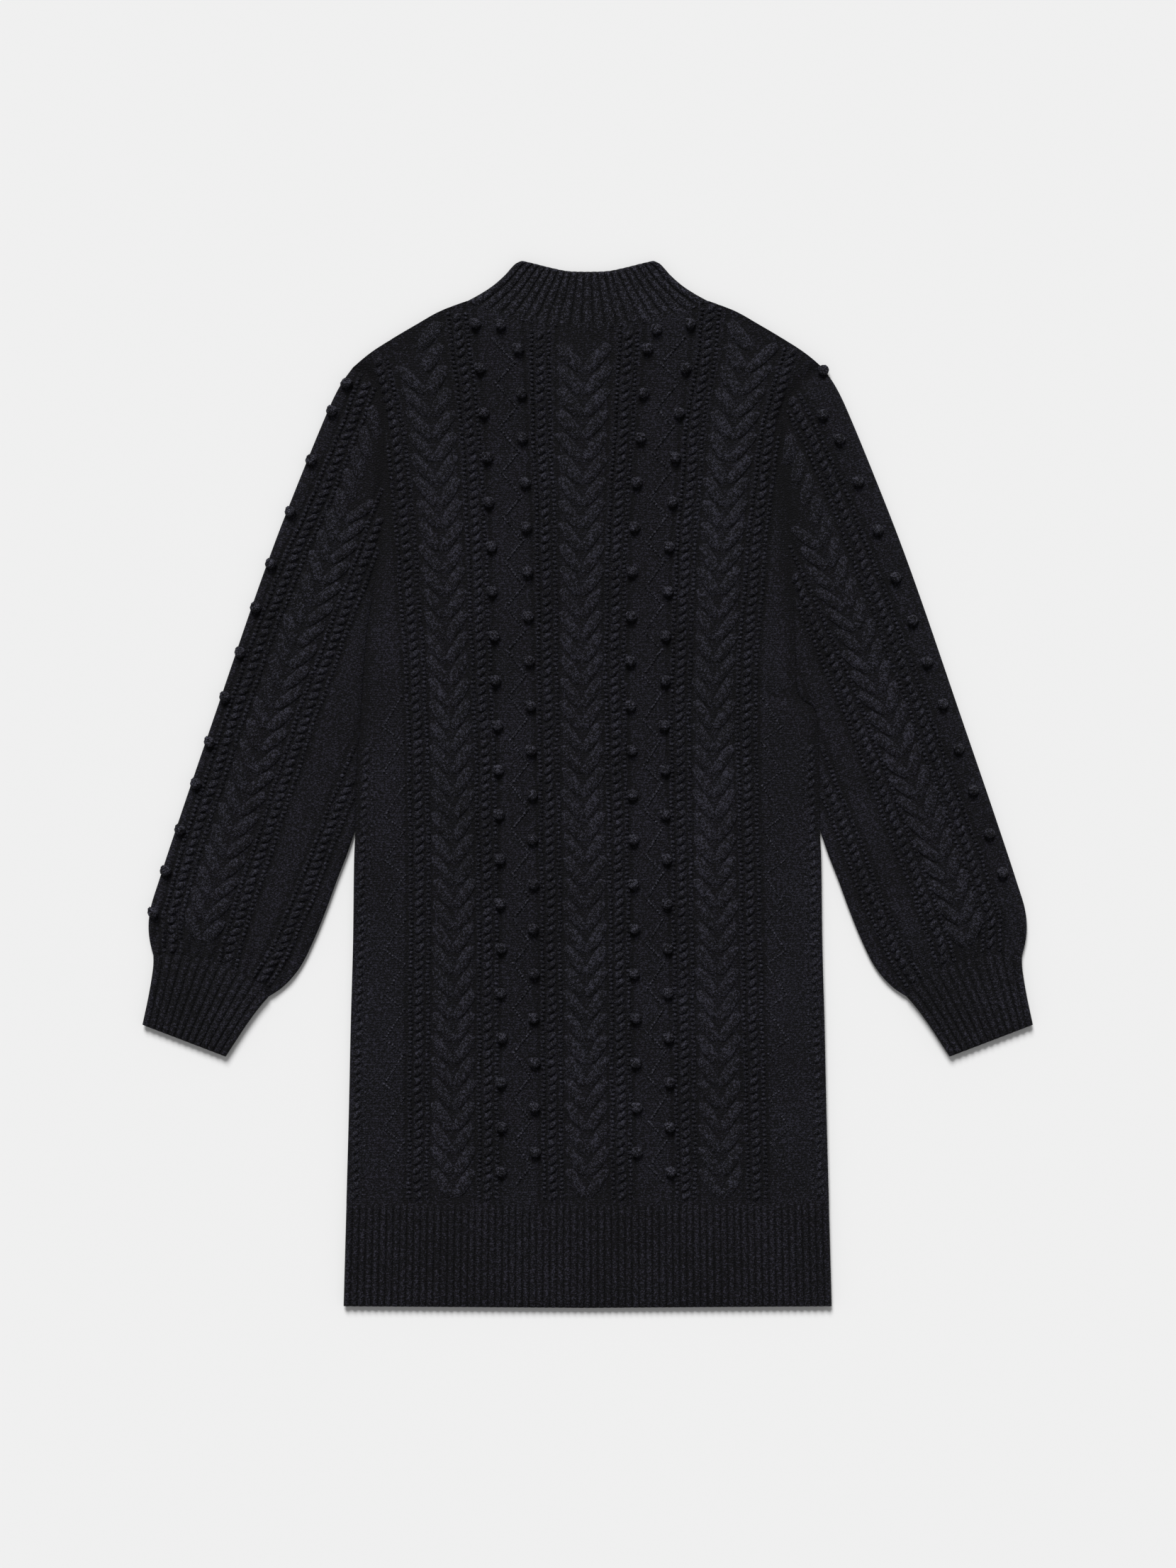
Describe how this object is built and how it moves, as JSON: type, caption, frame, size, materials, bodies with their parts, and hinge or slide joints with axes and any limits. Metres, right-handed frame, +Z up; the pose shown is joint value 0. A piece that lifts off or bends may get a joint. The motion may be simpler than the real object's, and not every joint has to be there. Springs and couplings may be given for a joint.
{
  "type": "sweater dress",
  "caption": "Long-sleeved knitted dress with rope cables, chevron cables, bobbles, a ribbed stand collar, cuffs and hem, laid flat with its front up.",
  "frame": {"origin": "on the surface it lies on, at the middle of the dress's outline", "axes": "+X across the front to the viewer's right, +Y from the hem up to the collar, +Z up from the surface, out of the front"},
  "size_m": [0.753, 0.8852, 0.0123],
  "materials": {
    "cable_knit": "soft fuzzy knitted wool, near-black charcoal",
    "rib_knit": "soft ribbed knitted wool, near-black charcoal"
  },
  "bodies": {
    "root": {"front": "cable_knit", "back": "cable_knit", "sleeve_left": "cable_knit", "sleeve_right": "cable_knit", "hem_band": "rib_knit", "collar": "rib_knit", "cuff_left": "rib_knit", "cuff_right": "rib_knit"}
  },
  "joints": []
}
